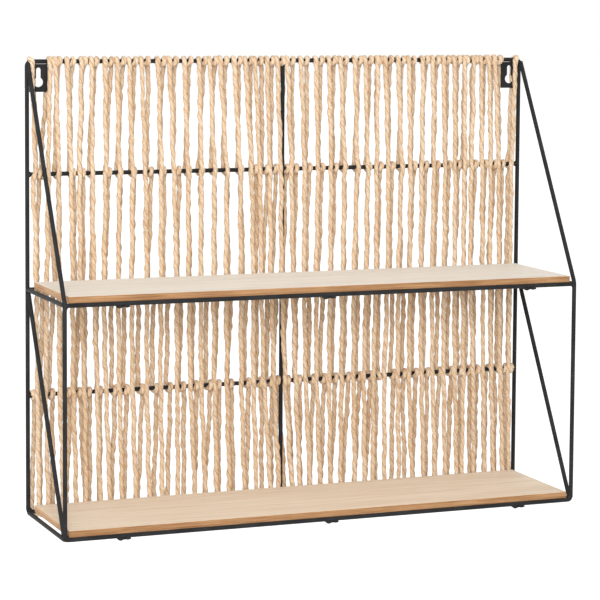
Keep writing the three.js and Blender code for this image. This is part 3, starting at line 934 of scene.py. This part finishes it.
def thickness(point, along, phases):
    """The rope's radius at a point, as a share of ROPE_RADIUS."""
    thick = 1 + SWELL * math.sin(along * SWELL_RATES[0] + phases[0])
    thick += SWELL * math.sin(along * SWELL_RATES[1] + phases[1])
    thick += LUMP * math.sin(along * LUMP_RATE + 3 * math.sin(along * LUMP_DRIFT + phases[2]))
    thick += NUB * math.sin(along * NUB_RATE + 4 * math.sin(along * NUB_DRIFT + phases[1]))
    thick += LOWER_EXTRA * smooth((SHELF_Z - point.z) / LOWER_EASE)
    return thick + (TOP_SPREAD if point.z > NEAR_TOP_Z else BAR_SPREAD) * pressed(point)


print("wider on the bars by", TOP_SPREAD, "and", BAR_SPREAD)

# %% Sweeping the section along a line
LAY_PITCH = 26 * MM  # one full turn of the two plies
LAY_DRIFT, LAY_DRIFT_RATE = 0.5, 17  # the plies run ahead and fall behind by half a radian


def rope_stations(name, points, lay_start):
    """For each point: the length of rope up to it, its thickness and the angle of its plies."""
    shaker = random.Random(name)
    phases = [shaker.uniform(0, 6.28) for _ in range(3)]
    along = 0
    stations = []
    for index, point in enumerate(points):
        if index:
            along += (point - points[index - 1]).length
        lay = lay_start + 2 * math.pi * along / LAY_PITCH
        lay += LAY_DRIFT * math.sin(along * LAY_DRIFT_RATE + phases[2])
        stations.append((along, thickness(point, along, phases), lay))
    return stations


def swept_mesh(name, points, stations):
    curve = bpy.data.curves.new(name, "CURVE")
    curve.dimensions = "3D"
    curve.twist_mode = "MINIMUM"
    curve.bevel_mode = "OBJECT"
    section = add_section()
    curve.bevel_object = section
    line = curve.splines.new("POLY")
    line.points.add(len(points) - 1)
    for line_point, point, (_, thick, lay) in zip(line.points, points, stations):
        line_point.co = (*point, 1)
        line_point.radius = thick
        line_point.tilt = -(lay % (2 * math.pi))
    swept = bpy.data.objects.new(name, curve)
    bpy.context.scene.collection.objects.link(swept)
    bpy.context.view_layer.update()
    finished = swept.evaluated_get(bpy.context.evaluated_depsgraph_get())
    mesh = bpy.data.meshes.new_from_object(finished)
    for extra in (swept, section):
        bpy.data.objects.remove(extra)
    return mesh


print("one turn of the plies every", round(LAY_PITCH / MM), "mm")

# %% Coordinates for the material, and the finished rope
WALL_Y = -0.1 * MM  # thick places lie flat against the wall


def write_rope_coordinates(mesh, stations):
    """rope_lay follows the plies, rope_fibres runs straight along the rope. Each ring of the
    mesh has one vertex for each point of the section."""
    for name in ("rope_lay", "rope_fibres"):
        mesh.attributes.new(name, "FLOAT_VECTOR", "POINT")
    lay_way = mesh.attributes["rope_lay"].data
    fibre_way = mesh.attributes["rope_fibres"].data
    for index in range(len(mesh.vertices)):
        ring, corner = divmod(index, len(SECTION))
        length, _, lay = stations[ring]
        angle = math.radians(SECTION[corner][0])
        along = length / (2 * ROPE_RADIUS)
        lay_way[index].vector = (math.cos(angle), math.sin(angle), along)
        fibre_way[index].vector = (math.cos(angle - lay), math.sin(angle - lay), along)


def add_rope(name, points, replaced, lay_start=0.0):
    stations = rope_stations(name, points, lay_start)
    mesh = swept_mesh(name, points, stations)
    write_rope_coordinates(mesh, stations)
    bm = bmesh.new()
    bm.from_mesh(mesh)
    bpy.data.meshes.remove(mesh)
    for vert in bm.verts:
        vert.co.y = min(vert.co.y, WALL_Y)
    open_edges = [edge for edge in bm.edges if edge.is_boundary]
    bmesh.ops.holes_fill(bm, edges=open_edges, sides=0)
    for face in bm.faces:
        face.smooth = True
    rope = add_piece(name, bm, [rope_fibre], "rope_fibre", replaced)
    length = round(stations[-1][0], 2)
    print(name, length, "m of rope,", 2 * len(rope.data.polygons), "triangles")


print("rope kept", round(-WALL_Y / MM, 1), "mm in front of the wall")

# %% [markdown]
# ## The wound panel
# Each half of the panel is one rope. It starts with a turn round the bottom bar and ends the
# same way, with its tail tucked behind. A strand goes over the top bar twice, the second time
# beside the first. The points could all be typed in, but a short loop over the strands says the
# same and shows the order in which a hand winds them.

# %% Over the top bar
FIRST_SHARE = 0.16  # of the whole step, made on the first way over the bar
SECOND_SHARE = 1.22  # reached at the end of the second way
BESIDE = 4.9 * MM  # at least this far from the first way


def top_turn(front_x, step_x):
    """One and a half turns round the top bar, close at first and wider at the back."""
    behind = max(FIRST_SHARE * step_x + BESIDE, SECOND_SHARE * step_x)
    steps = round(1.5 * TURN_STEPS)
    points = []
    for step in range(steps + 1):
        turns = 1.5 * step / steps
        if turns < 0.5:
            x = FIRST_SHARE * step_x * smooth(turns / 0.5)
        elif turns < 1:
            x = step_x * (FIRST_SHARE + (1 - FIRST_SHARE) * smooth((turns - 0.5) / 0.5))
        else:
            x = step_x + (behind - step_x) * smooth((turns - 1) / 0.5)
        points.append(Vector((front_x + x, *round_bar(TOP_Z, 2 * math.pi * turns))))
    return points


print("points over the top bar:", len(top_turn(0, BESIDE)))

# %% Winding order
START_STEP = 8.5 * MM  # along the bottom bar, from the rope's start to its strand
END_STEP = 8 * MM  # and from its last strand to its end
LEAST_TOP_STEP, MOST_TOP_STEP = 4.6 * MM, 8 * MM
WIDE_GAP = 7.8 * MM  # from here on, the rope goes once more round the bottom bar
SWAY_STEP = 1.7  # no strand wanders like the one beside it


def winding(first, last):
    """The line of one rope, from strand first to strand last."""
    start_x = FRONT_RUNS[first][4] * MM
    points = turn(BOTTOM_Z, start_x - START_STEP, start_x, FRONT, 1)
    for index in range(first, last + 1):
        sway = index * SWAY_STEP
        knobs = knob_places(index)
        under_front = [(BAR_LEVELS[1 + bay], sum(knobs[bay]) / 2) for bay in (0, 2)]
        top_x = FRONT_RUNS[index][0] * MM
        top_step = min(max(BACK_RUNS[index][0] * MM - top_x, LEAST_TOP_STEP), MOST_TOP_STEP)
        points += front_run(index, start_x, top_x, under_front, sway)
        points += top_turn(top_x, top_step)
        low_x = BACK_RUNS[index][7] * MM
        points += back_run(index, points[-1].x, low_x, knobs, sway)
        next_x = FRONT_RUNS[index + 1][4] * MM if index < last else low_x + END_STEP
        turns = 1.5 if next_x - low_x > WIDE_GAP else 0.5
        points += turn(BOTTOM_Z, low_x, next_x, BEHIND, turns)
        start_x = points[-1].x
    return points


for side, first, last in (("left", 1, 20), ("right", 21, 40)):
    add_rope(side + "_rope_panel", winding(first, last), side + "_rope_winding")

# %% [markdown]
# ## The two edge ropes
# Beside each post runs one strand that belongs to neither half. It starts with a turn round the
# lower middle bar, goes down behind and under the bottom bar, climbs in front, crosses the
# rounded top corner of the frame and comes down behind like every other strand. It could be made
# as the outermost strand of a winding, but it has its own start and its own tail, so it is a
# line of its own that uses the same helpers.

# %% Over the rounded corner
CORNER_STEPS = 8
CORNER_BULGE = 3.4 * MM  # outwards, over the rounded corner
CORNER_SINK = 0.4 * MM  # and down onto the corner's bend


def over_corner(top_x, behind_x, side):
    """Points over the top bar where it bends down into the post."""
    points = []
    for step in range(CORNER_STEPS + 1):
        angle = math.pi * step / CORNER_STEPS
        y, z = round_bar(TOP_Z, angle)
        x = top_x + (behind_x - top_x) * step / CORNER_STEPS
        points.append(Vector((x + side * CORNER_BULGE * math.sin(angle), y, z - CORNER_SINK)))
    return points


print("points over a corner:", len(over_corner(0, 0, side=1)))

# %% Edge ropes
EDGE_START_X = 292.6 * MM  # where the first turn starts, to the left or right
KINK_REACH = 60 * MM  # above and below the upper middle bar
KINK_EASE = 4 * MM
TAIL_STEP, TAIL_TURNS = 6 * MM, 1.3


def edge_rope(index, side, kink, below_x, outer_x):
    """side is -1 for the left edge and 1 for the right one, and kink bends the front run at the
    upper middle bar. The run below the lower middle bar goes from below_x to outer_x."""
    low_x, top_x = FRONT_RUNS[index][4] * MM, FRONT_RUNS[index][0] * MM
    behind_x, end_x = BACK_RUNS[index][0] * MM, BACK_RUNS[index][7] * MM
    points = turn(LOWER_MID_Z, EDGE_START_X * side, below_x, FRONT, 1.5)
    for z in run_heights(LOWER_MID_Z, BOTTOM_Z):
        share = smooth((LOWER_MID_Z - z) / (LOWER_MID_Z - BOTTOM_Z))
        points.append(Vector((below_x + (outer_x - below_x) * share, BACK_Y + WALL_REACH, z)))
    points += turn(BOTTOM_Z, outer_x, low_x, BEHIND, 0.5)
    climb = front_run(index, low_x, top_x, [], index)
    for point in climb:
        height = point.z - UPPER_MID_Z
        bend = math.copysign(smooth(abs(height) / KINK_EASE), height)
        point.x += kink * bend * (1 - smooth(abs(height) / KINK_REACH))
    points += climb
    points += over_corner(top_x, behind_x, side)
    points += back_run(index, behind_x, end_x, knob_places(index), index)
    points += turn(BOTTOM_Z, end_x, end_x - TAIL_STEP * side, BEHIND, TAIL_TURNS)
    return points


add_rope("left_edge_strand",
         edge_rope(0, side=-1, kink=2 * MM, below_x=-289 * MM, outer_x=-292.2 * MM),
         "left_edge_rope", lay_start=0.8)
add_rope("right_edge_strand",
         edge_rope(41, side=1, kink=0, below_x=290.6 * MM, outer_x=292.4 * MM),
         "right_edge_rope", lay_start=2.1)
